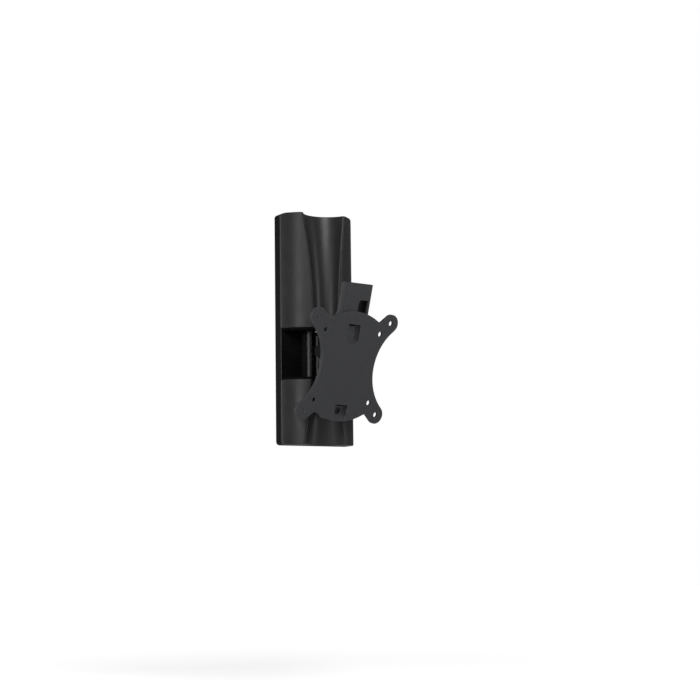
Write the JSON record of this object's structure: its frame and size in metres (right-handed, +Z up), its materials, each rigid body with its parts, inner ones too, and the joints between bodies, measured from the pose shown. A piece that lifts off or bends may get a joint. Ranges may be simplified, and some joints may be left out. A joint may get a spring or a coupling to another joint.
{
  "type": "monitor wall mount",
  "caption": "Short-reach monitor wall mount: waisted column with scooped covers, swivelling arm and a tilting plate with ears for a screen's rear screws.",
  "frame": {"origin": "on the wall plane, on the column's centre line, at the height of the cross bolt that the plate tilts on", "axes": "+Z up, -Y out of the wall towards the viewer, +X to the viewer's right"},
  "size_m": [0.1229, 0.089, 0.25],
  "materials": {
    "satin_anthracite": "satin",
    "black_plastic": "fine grained",
    "gloss_black": "polished",
    "graphite_coat": "fine powder coat",
    "black_coat": "fine powder coat",
    "bright_steel": "zinc plated",
    "zinc": "zinc plated",
    "spring_steel": "phosphated",
    "sleeve_steel": "black oxide",
    "bush_plastic": "moulded",
    "black_screw": "black oxide"
  },
  "bodies": {
    "column": {"wall_plate": "bright_steel", "surround": "black_plastic", "surround_screws": "zinc", "hinge_bracket": "bright_steel", "hinge_rivets": "zinc", "hinge_shroud": "gloss_black", "shroud_screws": "zinc", "upper_cover": "satin_anthracite", "lower_cover": "satin_anthracite", "swivel_bolt": "zinc", "swivel_washer": "zinc", "swivel_springs": "spring_steel", "swivel_nut": "zinc"},
    "arm": {"swivel_arm": "black_coat", "swivel_bushes": "bush_plastic", "swivel_sleeve": "sleeve_steel", "tilt_bolt": "black_screw", "tilt_washer": "black_screw", "tilt_springs": "spring_steel", "tilt_nut": "black_screw", "tilt_sleeve": "sleeve_steel"},
    "head": {"tilt_channel": "graphite_coat", "channel_insert": "black_plastic", "tilt_bushes": "bush_plastic", "vesa_plate": "graphite_coat", "lock_screw": "black_coat", "lock_nut": "zinc"}
  },
  "joints": [
    {"name": "swivel", "type": "hinge", "parent": "column", "child": "arm", "pos_m": [0, -0.014, 0], "axis": [0, 0, 1], "range_deg": [-30.5, 9.5]},
    {"name": "tilt", "type": "hinge", "parent": "arm", "child": "head", "pos_m": [0.0062, -0.04743, 0], "axis": [0.9833, 0.1822, 0], "range_deg": [-24, 1]}
  ]
}
